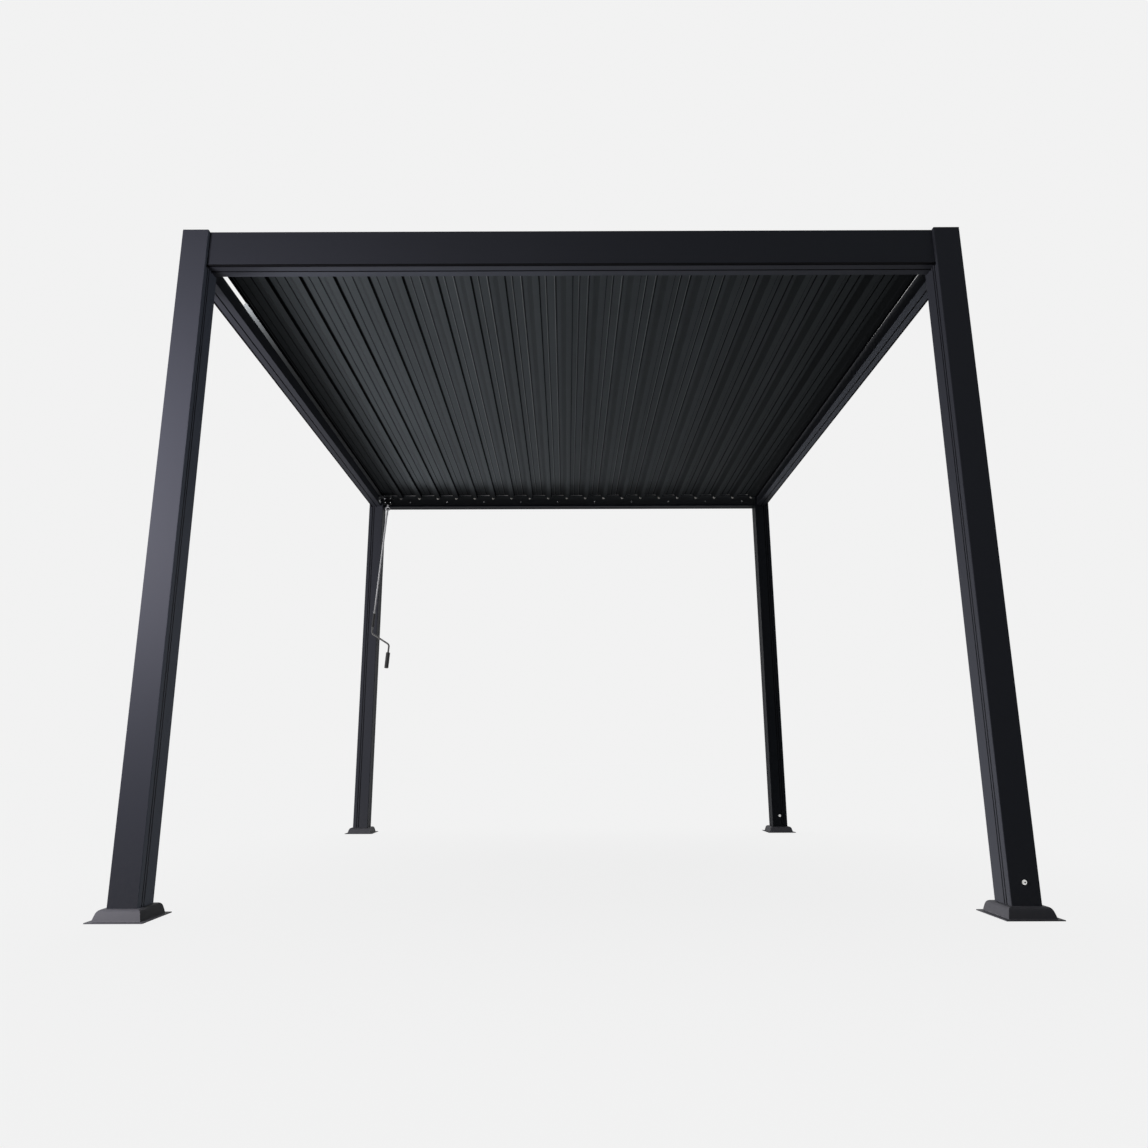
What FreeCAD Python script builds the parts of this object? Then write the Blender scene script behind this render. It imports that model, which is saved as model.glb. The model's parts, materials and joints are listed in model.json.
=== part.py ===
import FreeCAD, Part
import math
import os

# A free-standing garden pergola: four posts, four gutter beams and a roof of louvres that a
# worm gear, worked by a hand crank, turns together.
# The origin is the middle of the footprint at ground level, +X is right and +Y is the back.

Vector = FreeCAD.Vector

# Driving sizes, all in millimetres and degrees
plan_width = 3000.0           # over the outer faces of the posts, left to right
plan_depth = 3000.0           # over the outer faces of the posts, front to back
overall_height = 2510.0

post_side = 100.0
post_wall = 2.5
post_corner_radius = 3.0
post_inner_radius = 2.0
post_groove_width = 2.0
post_groove_depth = 1.0
post_groove_places = (25.0, 38.0)      # from the outer edge of an inner face
post_cap_thickness = 3.0
post_cap_edge = 1.2
cap_plug_depth = 12.0
cap_plug_wall = 2.0
plug_clearance = 0.3
cut_over = 1.0                # how far a cutter runs past the face it opens

beam_width = 72.0
beam_height = 146.0
beam_wall = 2.5
beam_top_below_cap = 2.0
beam_corner_radius = 1.5
gutter_wall_height = 62.0     # the lower wall on the room side
gutter_rim = 5.0
hem_width = 12.0
hem_drop = 10.0
channel_width = 5.0
drip_channel_place = 3.0      # of its near side, from the outer face
drip_channel_depth = 5.0
trim_channel_place = 36.0
trim_channel_depth = 3.0
inlet_width = 44.0            # where a gutter empties into a post
inlet_height = 30.0

rail_thickness = 4.0
rail_height = 64.0
rail_above_pivot = 14.0

louvre_count = 20
first_pivot_gap = 148.0       # from the left beam to the first louvre's pivot
louvre_wall = 1.2
louvre_cap_thickness = 2.5
louvre_cap_gap = 0.3
louvre_to_bar = 5.0           # from the end cap to the tie bar
last_edge_gap = 17.0          # from the last louvre to the right beam
pivot_above_gutter = 2.0      # pivot line above the rim of the gutter wall
pivot_pin_radius = 4.0
pivot_pin_end_gap = 0.5
pin_clearance = 0.3

# Louvre section, measured from its pivot: x towards the right edge, z up
edge_reach = 22.0
lip_overlap = 9.0             # the lip over the next louvre's trough
lip_lean = 2.0
lip_radius = 1.5
flat_underside = 15.0
hump_underside = -7.0         # of the low part along the right edge, with the pivot and the trough
hump_left = 5.0               # left of the pivot
slope_run = 22.0              # from the flat underside down to the hump
slope_radius = 4.0
hump_radius = 3.0
trough_wall_top = 10.0
trough_wall = 2.0
trough_floor = 2.5
trough_edge_radius = 0.8
trough_corner_radius = 1.5
trough_width = 13.5
back_top = 18.0               # where the back of the body meets the trough
back_top_radius = 3.0
crown_place = -34.0
crown_top = 45.0
crown_radius = 14.0
shoulder_from_lip = 28.0
shoulder_top = 40.0
shoulder_radius = 30.0
lip_top = 28.0
groove_places = (29.5, 68.5)  # from the joint with the louvre on the left
groove_width = 4.5
groove_depth = 3.5
web_from_lip = 48.0
web_from_pivot = 31.0
web_thickness = 1.2

# Linkage at the back end of the louvres
drive_pin_left = 34.0
drive_pin_up = 19.0
drive_pin_radius = 3.0
drive_pin_stand = 0.5         # past the tie bar
tie_bar_height = 12.0
tie_bar_thickness = 3.0
tie_bar_end = 7.0
tie_bar_to_post = 5.0         # it passes in front of the posts' inner faces
arm_thickness = 3.0
arm_to_bar = 1.0
arm_half_width = 7.0
arm_hub_radius = 9.0

# Worm gearbox, hung under a plate that the left beam carries
gear_from_first_pivot = 84.0
gear_below_pivot = 34.0
gear_shaft_radius = 5.0
gear_shaft_depth = 12.0
housing_width = 50.0
housing_depth = 40.0
housing_below_shaft = 25.0
housing_radius = 5.0
housing_to_arm = 7.0
plate_thickness = 3.0
plate_below_louvre = 6.0
plate_reach = 92.0
plate_depth = 54.0
plate_flange = 36.0
worm_boss_radius = 13.0
worm_boss_length = 10.0
shaft_boss_radius = 11.0
shaft_boss_length = 3.0

# Hand crank on the gearbox, along one straight line from the worm to the bend
crank_lean_x = -38.0
crank_lean_y = -118.0
crank_drop = 913.0
stem_radius = 6.0
stem_into_boss = 8.0
bore_end_gap = 0.5
stem_length = 26.0
eye_radius = 14.0
eye_wire = 4.0
ring_clearance = 0.5
rod_radius = 6.0
rod_length = 934.0
crank_reach = 130.0
crank_step = 76.0
handle_length = 162.0
bend_radius = 26.0
sleeve_radius = 9.0
sleeve_length = 100.0
sleeve_edge = 2.0
sleeve_above_bend = 46.0
grip_radius = 14.0
grip_length = 110.0
grip_edge = 3.0
grip_end = 6.0
grip_clearance = 0.3

# Feet
foot_plate_side = 146.0
foot_plate_thickness = 8.0
anchor_spacing = 124.0
anchor_hole_radius = 6.0
foot_plate_corner = 6.0
cover_height = 38.0
cover_spread = 28.5           # of the moulding, out from the post
cover_flange_side = 186.0
cover_flange_thickness = 3.0
cover_wall = 2.0
cover_curve = [(1.0, 0.0), (0.955, 0.07), (0.9, 0.26), (0.82, 0.5), (0.74, 0.7), (0.65, 0.84),
               (0.52, 0.94), (0.38, 0.99), (0.24, 1.0)]    # shares of its spread and of its rise over the flange
cover_flange_radius = 1.0
cover_post_gap = 0.3

# Drain outlets near the foot of the two right posts
drain_height = 110.0
drain_bore_radius = 2.8
drain_tube_radius = 5.5
drain_flange_radius = 8.0
drain_flange_thickness = 1.5
drain_stand = 5.0

# Sizes that follow
post_x = plan_width / 2 - post_side / 2
post_y = plan_depth / 2 - post_side / 2
post_inner_x = plan_width / 2 - post_side
post_inner_y = plan_depth / 2 - post_side
post_top = overall_height - post_cap_thickness
beam_inset = (post_side - beam_width) / 2
beam_top = overall_height - beam_top_below_cap
beam_bottom = beam_top - beam_height
gutter_top = beam_bottom + gutter_wall_height
inner_face_x = plan_width / 2 - beam_inset - beam_width
inner_face_y = plan_depth / 2 - beam_inset - beam_width
rail_face_y = inner_face_y - rail_thickness
pivot_z = gutter_top + pivot_above_gutter
last_pivot_x = inner_face_x - last_edge_gap - edge_reach
first_pivot_x = -inner_face_x + first_pivot_gap
louvre_pitch = (last_pivot_x - first_pivot_x) / (louvre_count - 1)
pivot_places = [first_pivot_x + i * louvre_pitch for i in range(louvre_count)]
joint_x = edge_reach - louvre_pitch
lip_end = joint_x - lip_overlap
trough_back = edge_reach - trough_wall - trough_width
bar_back_y = post_inner_y - tie_bar_to_post
bar_front_y = bar_back_y - tie_bar_thickness
louvre_end_y = bar_front_y - louvre_to_bar
arm_back_y = bar_front_y - arm_to_bar
arm_front_y = arm_back_y - arm_thickness
bar_z = pivot_z + drive_pin_up
gear_x = first_pivot_x - gear_from_first_pivot
gear_z = pivot_z - gear_below_pivot
housing_back_y = arm_front_y - housing_to_arm
plate_top = pivot_z + hump_underside - plate_below_louvre
crank_top = Vector(gear_x, housing_back_y - housing_depth / 2, gear_z - housing_below_shaft)
crank_down = Vector(crank_lean_x, crank_lean_y, -crank_drop).normalize()
crank_side = crank_down.cross(Vector(0, 1, 0)).normalize()
worm_end = crank_top + crank_down * worm_boss_length
eye_centre = worm_end + crank_down * (stem_length - stem_into_boss + eye_radius)
hook_centre = eye_centre + crank_down * (2 * (eye_radius - eye_wire) - ring_clearance)
rod_top = hook_centre + crank_down * eye_radius
rod_bend = rod_top + crank_down * rod_length
rod_knee = rod_bend + crank_side * crank_reach + crank_down * crank_step
rod_end = rod_knee + crank_down * handle_length
corners = [(-1, -1, "front_left"), (1, -1, "front_right"), (-1, 1, "back_left"), (1, 1, "back_right")]


def outline(points):
    """Closed wire through flat points (a, b, radius), each corner rounded by its radius."""
    count = len(points)
    edges = []
    starts = []
    ends = []
    arcs = []
    for i in range(count):
        corner = Vector(points[i][0], points[i][1], 0)
        radius = points[i][2]
        before = (Vector(points[i - 1][0], points[i - 1][1], 0) - corner).normalize()
        after = (Vector(points[(i + 1) % count][0], points[(i + 1) % count][1], 0) - corner).normalize()
        if radius == 0:
            starts.append(corner)
            ends.append(corner)
            arcs.append(None)
            continue
        half = math.acos(max(-1.0, min(1.0, before.dot(after)))) / 2
        setback = radius / math.tan(half)
        centre = corner + (before + after).normalize() * (radius / math.sin(half))
        middle = centre + (corner - centre).normalize() * radius
        starts.append(corner + before * setback)
        ends.append(corner + after * setback)
        arcs.append(Part.Arc(starts[-1], middle, ends[-1]).toShape())
    for i in range(count):
        if arcs[i] is not None:
            edges.append(arcs[i])
        here = ends[i]
        there = starts[(i + 1) % count]
        if here.distanceToPoint(there) > 1e-6:
            edges.append(Part.LineSegment(here, there).toShape())
    return Part.Wire(edges)


def flat_face(points):
    return Part.Face(outline(points))


def along_y(face, start, end):
    """Carries a flat section (x, z) from y = start to y = end."""
    shape = face.copy()
    shape.rotate(Vector(0, 0, 0), Vector(1, 0, 0), 90)
    shape.translate(Vector(0, start, 0))
    return shape.extrude(Vector(0, end - start, 0))


def along_x(face, start, end):
    """Carries a flat section (y, z) from x = start to x = end."""
    shape = face.copy()
    shape.rotate(Vector(0, 0, 0), Vector(1, 0, 0), 90)
    shape.rotate(Vector(0, 0, 0), Vector(0, 0, 1), 90)
    shape.translate(Vector(start, 0, 0))
    return shape.extrude(Vector(end - start, 0, 0))


def rod_y(x, z, radius, start, end):
    return Part.makeCylinder(radius, end - start, Vector(x, start, z), Vector(0, 1, 0))


def block(x0, x1, y0, y1, z0, z1):
    return Part.makeBox(x1 - x0, y1 - y0, z1 - z0, Vector(x0, y0, z0))


def square(side, radius):
    half = side / 2
    return [(-half, -half, radius), (half, -half, radius), (half, half, radius), (-half, half, radius)]


def mirrored(shape, flip_x, flip_y):
    result = shape
    if flip_x:
        result = result.mirror(Vector(0, 0, 0), Vector(1, 0, 0))
    if flip_y:
        result = result.mirror(Vector(0, 0, 0), Vector(0, 1, 0))
    return result


# Posts: hollow square tube, with two fine grooves on each face that looks into the pergola
def post_section():
    half = post_side / 2
    face = flat_face(square(post_side, post_corner_radius))
    hollow = flat_face(square(post_side - 2 * post_wall, post_inner_radius))
    face = face.cut(hollow)
    for place in post_groove_places:
        low = -half + place - post_groove_width / 2
        high = low + post_groove_width
        for box in ((half - post_groove_depth, low, half + cut_over, high),
                    (low, half - post_groove_depth, high, half + cut_over)):
            groove = Part.makePlane(box[2] - box[0], box[3] - box[1], Vector(box[0], box[1], 0))
            face = face.cut(groove)
    return face.Faces[0]


def front_left_post():
    tube = post_section().extrude(Vector(0, 0, post_top - foot_plate_thickness))
    tube.translate(Vector(-post_x, -post_y, foot_plate_thickness))
    across = block(-inlet_width / 2, inlet_width / 2, 0, 2 * post_wall, 0, inlet_height)
    gutter_middle = plan_depth / 2 - beam_inset - beam_width / 2
    inlet_floor = beam_bottom + beam_wall
    side_inlet = across.copy()
    side_inlet.translate(Vector(-post_x, -post_inner_y - 1.5 * post_wall, inlet_floor))
    front_inlet = across.copy()
    front_inlet.rotate(Vector(0, 0, 0), Vector(0, 0, 1), 90)
    front_inlet.translate(Vector(-post_inner_x + post_wall / 2, -gutter_middle, inlet_floor))
    return tube.cut(side_inlet).cut(front_inlet)


def drain_hole(face_y):
    return rod_y(post_x, drain_height, drain_tube_radius, face_y - cut_over, face_y + 2 * post_wall)


def drain_outlet(face_y):
    flange = rod_y(post_x, drain_height, drain_flange_radius, face_y - drain_flange_thickness, face_y)
    tube = rod_y(post_x, drain_height, drain_tube_radius, face_y - drain_stand, face_y)
    bore = rod_y(post_x, drain_height, drain_bore_radius,
                  face_y - drain_stand - cut_over, face_y + cut_over)
    outlet = flange.fuse(tube).removeSplitter()
    return outlet.cut(bore)


def post_cap(x, y):
    lid = Part.makeBox(post_side, post_side, post_cap_thickness,
                       Vector(x - post_side / 2, y - post_side / 2, post_top))
    upright = [e for e in lid.Edges if abs(e.tangentAt(e.FirstParameter).z) > 0.9]
    lid = lid.makeFillet(post_corner_radius, upright)
    rim = [e for e in lid.Edges if e.BoundBox.ZMin > overall_height - post_cap_thickness / 2]
    lid = lid.makeChamfer(post_cap_edge, rim)
    plug_side = post_side - 2 * (post_wall + plug_clearance)
    plug = flat_face(square(plug_side, post_inner_radius))
    plug = plug.cut(flat_face(square(plug_side - 2 * cap_plug_wall, 0))).Faces[0]
    plug = plug.extrude(Vector(0, 0, cap_plug_depth))
    plug.translate(Vector(x, y, post_top - cap_plug_depth))
    return lid.fuse(plug).removeSplitter()


# Beams: one extruded section, a tall outer wall and a low inner wall with an open gutter between.
# Two channels run along the underside, a drip channel by the outer face and a trim channel.
def beam_section():
    w, h, t = beam_width, beam_height, beam_wall
    r = beam_corner_radius
    rim = gutter_rim
    outside = [(0, 0, r)]
    floor = []
    for place, depth in ((drip_channel_place, drip_channel_depth), (trim_channel_place, trim_channel_depth)):
        end = place + channel_width
        outside += [(place, 0, 0), (place, depth, 0), (end, depth, 0), (end, 0, 0)]
        inner_start = max(place - t, t)
        floor += [(inner_start, t, 0), (inner_start, depth + t, 0), (end + t, depth + t, 0), (end + t, t, 0)]
    outside += [(w, 0, r), (w, gutter_wall_height, r), (w - rim, gutter_wall_height, r),
                (w - rim, gutter_wall_height - t, 0), (w - t, gutter_wall_height - t, 0), (w - t, t, r)]
    inside = floor[:0:-1] + [(t, h - t, 0), (hem_width - t, h - t, 0), (hem_width - t, h - hem_drop, 0),
                             (hem_width, h - hem_drop, 0), (hem_width, h, r), (0, h, r)]
    return flat_face(outside + inside)


def front_beam():
    beam = along_x(beam_section(), -post_inner_x, post_inner_x)
    beam.translate(Vector(0, -plan_depth / 2 + beam_inset, beam_bottom))
    return beam


def left_beam():
    beam = along_y(beam_section(), -post_inner_y, post_inner_y)
    beam.translate(Vector(-plan_width / 2 + beam_inset, 0, beam_bottom))
    return beam


# Rails on the front and back gutter walls, with a hole for each louvre's pin
def back_rail():
    top = pivot_z + rail_above_pivot
    rail = block(-post_inner_x, post_inner_x, rail_face_y, inner_face_y, top - rail_height, top)
    holes = [rod_y(x, pivot_z, pivot_pin_radius + pin_clearance, rail_face_y - cut_over, inner_face_y + cut_over)
             for x in pivot_places]
    return rail.cut(Part.makeCompound(holes))


# Louvres: a hollow extrusion with a trough along its right edge and a lip on its left
def louvre_core():
    points = [(trough_back, hump_underside, 0), (trough_back, back_top, back_top_radius),
              (crown_place, crown_top, crown_radius),
              (lip_end + shoulder_from_lip, shoulder_top, shoulder_radius),
              (lip_end + lip_lean, lip_top, lip_radius), (lip_end, flat_underside, lip_radius)]
    for place in groove_places:
        middle = joint_x + place
        points += [(middle - groove_width / 2, flat_underside, 0), (middle, flat_underside + groove_depth, 0),
                   (middle + groove_width / 2, flat_underside, 0)]
    points += [(-hump_left - slope_run, flat_underside, slope_radius), (-hump_left, hump_underside, hump_radius)]
    return flat_face(points)


def louvre_trough():
    floor = hump_underside + trough_floor
    wall = edge_reach - trough_wall
    return flat_face([
        (trough_back, hump_underside, 0), (edge_reach, hump_underside, trough_corner_radius),
        (edge_reach, trough_wall_top, trough_edge_radius), (wall, trough_wall_top, trough_edge_radius),
        (wall, floor, trough_edge_radius), (trough_back, floor, 0)])


def louvre_outline():
    face = louvre_core().fuse(louvre_trough()).removeSplitter()
    return face.Faces[0]


def louvre_section():
    hollow = louvre_core().makeOffset2D(-louvre_wall)
    for place in (lip_end + web_from_lip, -web_from_pivot):
        web = Part.makePlane(web_thickness, 4 * crown_top, Vector(place, -2 * crown_top, 0))
        hollow = hollow.cut(web)
    return louvre_outline().cut(hollow).Faces[0]


def louvre(x):
    cap_outer = louvre_end_y
    cap_inner = cap_outer - louvre_cap_thickness
    blade_end = cap_inner - louvre_cap_gap
    blade = along_y(louvre_section(), -blade_end, blade_end)
    pin_end = inner_face_y - pivot_pin_end_gap
    plate = louvre_outline()
    back_cap = along_y(plate, cap_inner, cap_outer)
    back_cap = back_cap.fuse(rod_y(0, 0, pivot_pin_radius, cap_outer, pin_end))
    drive_pin = rod_y(-drive_pin_left, drive_pin_up, drive_pin_radius, cap_outer,
                      bar_back_y + drive_pin_stand)
    back_cap = back_cap.fuse(drive_pin).removeSplitter()
    front_cap = along_y(plate, -cap_outer, -cap_inner)
    front_cap = front_cap.fuse(rod_y(0, 0, pivot_pin_radius, -pin_end, -cap_outer)).removeSplitter()
    solids = Part.makeCompound([blade, back_cap, front_cap])
    solids.translate(Vector(x, 0, pivot_z))
    return solids


# Linkage: a flat bar that joins the louvres' drive pins, and the gearbox arm that moves it
def tie_bar():
    lug_x = gear_x - drive_pin_left
    lug_z = gear_z + drive_pin_up
    last_x = last_pivot_x - drive_pin_left
    half = tie_bar_height / 2
    bar = block(lug_x - tie_bar_end, last_x + tie_bar_end, bar_front_y, bar_back_y, bar_z - half, bar_z + half)
    lug = block(lug_x - tie_bar_end, lug_x + tie_bar_end, bar_front_y, bar_back_y, lug_z, bar_z)
    lug = lug.fuse(rod_y(lug_x, lug_z, tie_bar_end, bar_front_y, bar_back_y))
    places = [(x - drive_pin_left, bar_z) for x in pivot_places]
    places.append((lug_x, lug_z))
    holes = [rod_y(x, z, drive_pin_radius + pin_clearance, bar_front_y - cut_over, bar_back_y + cut_over)
             for x, z in places]
    return bar.fuse(lug).removeSplitter().cut(Part.makeCompound(holes))


def drive_arm():
    length = math.hypot(drive_pin_left, drive_pin_up)
    turn = math.degrees(math.atan2(drive_pin_up, drive_pin_left))
    arm = block(-length, 0, arm_front_y, arm_back_y, -arm_half_width, arm_half_width)
    arm = arm.fuse(rod_y(-length, 0, arm_half_width, arm_front_y, arm_back_y))
    arm = arm.fuse(rod_y(0, 0, arm_hub_radius, arm_front_y, arm_back_y))
    pin = rod_y(-length, 0, drive_pin_radius, arm_front_y, bar_back_y + drive_pin_stand)
    shaft = rod_y(0, 0, gear_shaft_radius, housing_back_y - gear_shaft_depth, arm_back_y)
    arm = arm.fuse(pin).fuse(shaft).removeSplitter()
    arm.rotate(Vector(0, 0, 0), Vector(0, 1, 0), turn)
    arm.translate(Vector(gear_x, 0, gear_z))
    return arm


def gearbox():
    body = block(gear_x - housing_width / 2, gear_x + housing_width / 2,
                 housing_back_y - housing_depth, housing_back_y,
                 gear_z - housing_below_shaft, plate_top - plate_thickness)
    upright = [e for e in body.Edges if abs(e.tangentAt(e.FirstParameter).z) > 0.9]
    body = body.makeFillet(housing_radius, upright)
    worm_boss = Part.makeCylinder(worm_boss_radius, worm_boss_length + worm_boss_radius,
                                  crank_top - crank_down * worm_boss_radius, crank_down)
    shaft_boss = rod_y(gear_x, gear_z, shaft_boss_radius, housing_back_y - cut_over,
                       housing_back_y + shaft_boss_length)
    shaft_bore = rod_y(gear_x, gear_z, gear_shaft_radius + pin_clearance,
                       housing_back_y - gear_shaft_depth - bore_end_gap, arm_front_y)
    bore_depth = stem_into_boss + bore_end_gap
    worm_bore = Part.makeCylinder(stem_radius + pin_clearance, bore_depth + cut_over,
                                  worm_end - crank_down * bore_depth, crank_down)
    body = body.fuse(worm_boss).fuse(shaft_boss).removeSplitter()
    return body.cut(shaft_bore).cut(worm_bore)


def gearbox_plate():
    back = housing_back_y
    left = -inner_face_x
    plate = block(left, left + plate_reach, back - plate_depth, back, plate_top - plate_thickness, plate_top)
    flange = block(left, left + plate_thickness, back - plate_depth, back, plate_top - plate_flange, plate_top)
    return plate.fuse(flange).removeSplitter()


def rod_path(points, radius, bend):
    """Round bar through straight runs joined by tangent arcs."""
    edges = []
    here = points[0]
    for i in range(1, len(points) - 1):
        corner = points[i]
        before = (points[i - 1] - corner).normalize()
        after = (points[i + 1] - corner).normalize()
        half = math.acos(before.dot(after)) / 2
        setback = bend / math.tan(half)
        centre = corner + (before + after).normalize() * (bend / math.sin(half))
        middle = centre + (corner - centre).normalize() * bend
        edges.append(Part.LineSegment(here, corner + before * setback).toShape())
        edges.append(Part.Arc(corner + before * setback, middle, corner + after * setback).toShape())
        here = corner + after * setback
    edges.append(Part.LineSegment(here, points[-1]).toShape())
    ring = Part.Wire(Part.makeCircle(radius, points[0], points[1] - points[0]))
    return Part.Wire(edges).makePipeShell([ring], True, True)


def crank_rod():
    stem = Part.makeCylinder(stem_radius, stem_length, worm_end - crank_down * stem_into_boss, crank_down)
    eye = Part.makeTorus(eye_radius, eye_wire, eye_centre, crank_down.cross(crank_side))
    hook = Part.makeTorus(eye_radius, eye_wire, hook_centre, crank_side)
    rod = rod_path([rod_top, rod_bend, rod_knee, rod_end], rod_radius, bend_radius)
    return Part.makeCompound([stem.fuse(eye).removeSplitter(), hook.fuse(rod).removeSplitter()])


def grip_tube(radius, length, start, edge, bore_length):
    """Rounded plastic tube on the rod, from a start point down."""
    tube = Part.makeCylinder(radius, length, start, crank_down)
    tube = tube.makeFillet(edge, [e for e in tube.Edges if e.Closed])
    bore = Part.makeCylinder(rod_radius + grip_clearance, bore_length + cut_over,
                             start - crank_down * cut_over, crank_down)
    return tube.cut(bore)


def crank_grips():
    sleeve_start = rod_bend - crank_down * (sleeve_above_bend + sleeve_length)
    grip_bore = grip_length - grip_end
    grip_start = rod_end - crank_down * grip_bore
    sleeve = grip_tube(sleeve_radius, sleeve_length, sleeve_start, sleeve_edge, sleeve_length + cut_over)
    grip = grip_tube(grip_radius, grip_length, grip_start, grip_edge, grip_bore + grip_clearance)
    return Part.makeCompound([sleeve, grip])


# Feet: a steel plate with anchor holes, under a moulded cover round the post
def foot_plate(x, y):
    plate = flat_face(square(foot_plate_side, foot_plate_corner)).extrude(Vector(0, 0, foot_plate_thickness))
    half = anchor_spacing / 2
    holes = [Part.makeCylinder(anchor_hole_radius, foot_plate_thickness + 2 * cut_over, Vector(a, b, -cut_over))
             for a in (-half, half) for b in (-half, half)]
    plate = plate.cut(Part.makeCompound(holes))
    plate.translate(Vector(x, y, 0))
    return plate


def cover_profile(inset):
    """Half of the cover's outline (distance from the middle, height), thinner by the inset."""
    rise = cover_height - inset - cover_flange_thickness
    return [Vector(post_side / 2 + cover_spread * out - inset, cover_flange_thickness + rise * up)
            for out, up in cover_curve]


def cover_solid(inset, floor):
    """Square moulding with mitred corners, lofted through square rings."""
    rings = []
    points = cover_profile(inset)
    for place, level in [(points[0].x, floor)] + [(p.x, p.y) for p in points]:
        ring = outline(square(2 * place, 0))
        ring.translate(Vector(0, 0, level))
        rings.append(ring)
    return Part.makeLoft(rings, True, True)


def foot_cover(x, y):
    moulding = cover_solid(0, 0)
    hollow = cover_solid(cover_wall, -cut_over)
    flange = flat_face(square(cover_flange_side, cover_flange_radius))
    flange = flange.extrude(Vector(0, 0, cover_flange_thickness))
    post_hole = flat_face(square(post_side + 2 * cover_post_gap, post_corner_radius))
    post_hole = post_hole.extrude(Vector(0, 0, 2 * cover_height))
    post_hole.translate(Vector(0, 0, -cut_over))
    cover = moulding.fuse(flange).removeSplitter().cut(hollow).cut(post_hole)
    cover.translate(Vector(x, y, 0))
    return cover


def build():
    parts = {}
    post = front_left_post()
    drain_faces = {"front_right": -plan_depth / 2, "back_right": post_inner_y}
    for sx, sy, name in corners:
        shape = mirrored(post, sx > 0, sy > 0)
        if name in drain_faces:
            shape = shape.cut(drain_hole(drain_faces[name]))
        parts["post_" + name] = shape
    parts["beam_front"] = front_beam()
    parts["beam_back"] = mirrored(front_beam(), False, True)
    parts["beam_left"] = left_beam()
    parts["beam_right"] = mirrored(left_beam(), True, False)
    parts["post_caps"] = Part.makeCompound([post_cap(sx * post_x, sy * post_y) for sx, sy, name in corners])
    parts["foot_plates"] = Part.makeCompound([foot_plate(sx * post_x, sy * post_y) for sx, sy, name in corners])
    parts["foot_covers"] = Part.makeCompound([foot_cover(sx * post_x, sy * post_y) for sx, sy, name in corners])
    parts["drain_outlets"] = Part.makeCompound([drain_outlet(y) for y in drain_faces.values()])
    parts["pivot_rail_back"] = back_rail()
    parts["pivot_rail_front"] = mirrored(back_rail(), False, True)
    parts["gearbox"] = gearbox()
    parts["gearbox_plate"] = gearbox_plate()
    parts["drive_arm"] = drive_arm()
    parts["tie_bar"] = tie_bar()
    parts["crank_rod"] = crank_rod()
    parts["crank_grips"] = crank_grips()
    for i, x in enumerate(pivot_places):
        parts["louvre_%02d" % (i + 1)] = louvre(x)
    return parts


os.makedirs("parts", exist_ok=True)
for name, shape in build().items():
    if not shape.isValid():
        raise RuntimeError("the shape of " + name + " is not valid")
    shape.exportStep("parts/" + name + ".step")
    print(name, len(shape.Solids), round(shape.Volume / 1000, 1), "cm3")
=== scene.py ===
import json
import math
import bmesh
import bpy
from mathutils import Matrix, Vector


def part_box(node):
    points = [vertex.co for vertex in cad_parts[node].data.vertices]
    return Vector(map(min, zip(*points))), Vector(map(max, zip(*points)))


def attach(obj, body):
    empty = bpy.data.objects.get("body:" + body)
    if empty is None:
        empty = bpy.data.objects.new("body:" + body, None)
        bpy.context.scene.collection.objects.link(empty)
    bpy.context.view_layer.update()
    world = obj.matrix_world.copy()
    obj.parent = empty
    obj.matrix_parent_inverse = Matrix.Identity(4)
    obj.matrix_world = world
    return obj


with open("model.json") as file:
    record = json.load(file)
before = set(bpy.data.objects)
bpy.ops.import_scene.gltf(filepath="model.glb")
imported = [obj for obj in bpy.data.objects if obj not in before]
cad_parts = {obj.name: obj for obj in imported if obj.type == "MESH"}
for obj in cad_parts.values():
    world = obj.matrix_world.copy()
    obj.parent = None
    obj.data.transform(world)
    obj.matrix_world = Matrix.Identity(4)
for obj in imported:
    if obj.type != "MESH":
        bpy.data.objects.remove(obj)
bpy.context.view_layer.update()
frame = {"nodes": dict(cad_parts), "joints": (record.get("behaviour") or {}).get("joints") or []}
nodes = frame["nodes"]
hinges = {joint["child"]: joint for joint in frame["joints"]}
louvres = sorted(name for name in nodes if name.startswith("louvre_"))
firstPivot = hinges[louvres[0]]["pos_m"]
louvrePitch = hinges[louvres[1]]["pos_m"][0] - firstPivot[0]
scene = bpy.context.scene
scene.view_settings.view_transform = "Standard"
print("stage: frame loaded,", len(nodes), "nodes")

# camera, fitted to the photograph
cameraSizes = {
    "place": (-0.0226, -4.1112, 0.5074),
    "pitchUp": 11.850,            # degrees
    "yaw": -0.026,
    "roll": -0.176,
    "lens": 24.077,               # mm
    "sensor": 36.0,
    "shiftX": 0.0071,
    "shiftY": 0.0196,
    "farthest": 200.0,
}


def makeCamera():
    s = cameraSizes
    pitch, yaw, roll = (math.radians(s[key]) for key in ("pitchUp", "yaw", "roll"))
    forward = Vector((math.sin(yaw) * math.cos(pitch), math.cos(yaw) * math.cos(pitch), math.sin(pitch)))
    level = Vector((math.cos(yaw), -math.sin(yaw), 0.0))
    upright = level.cross(forward)
    right = level * math.cos(roll) + upright * math.sin(roll)
    up = upright * math.cos(roll) - level * math.sin(roll)
    data = bpy.data.cameras.new("photoCamera")
    data.sensor_width = s["sensor"]
    data.lens = s["lens"]
    data.shift_x = s["shiftX"]
    data.shift_y = s["shiftY"]
    data.clip_end = s["farthest"]
    camera = bpy.data.objects.new("photoCamera", data)
    turn = Matrix((right, up, -forward)).transposed().to_4x4()
    camera.matrix_world = Matrix.Translation(Vector(s["place"])) @ turn
    scene.collection.objects.link(camera)
    scene.camera = camera


makeCamera()
print("stage: camera")


# short forms for node trees
def wire(tree, *pairs):
    for source, target in pairs:
        tree.links.new(source, target)


def addNode(tree, kind, values=None):
    node = tree.nodes.new(kind)
    for label, value in (values or {}).items():
        node.inputs[label].default_value = value
    return node


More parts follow.
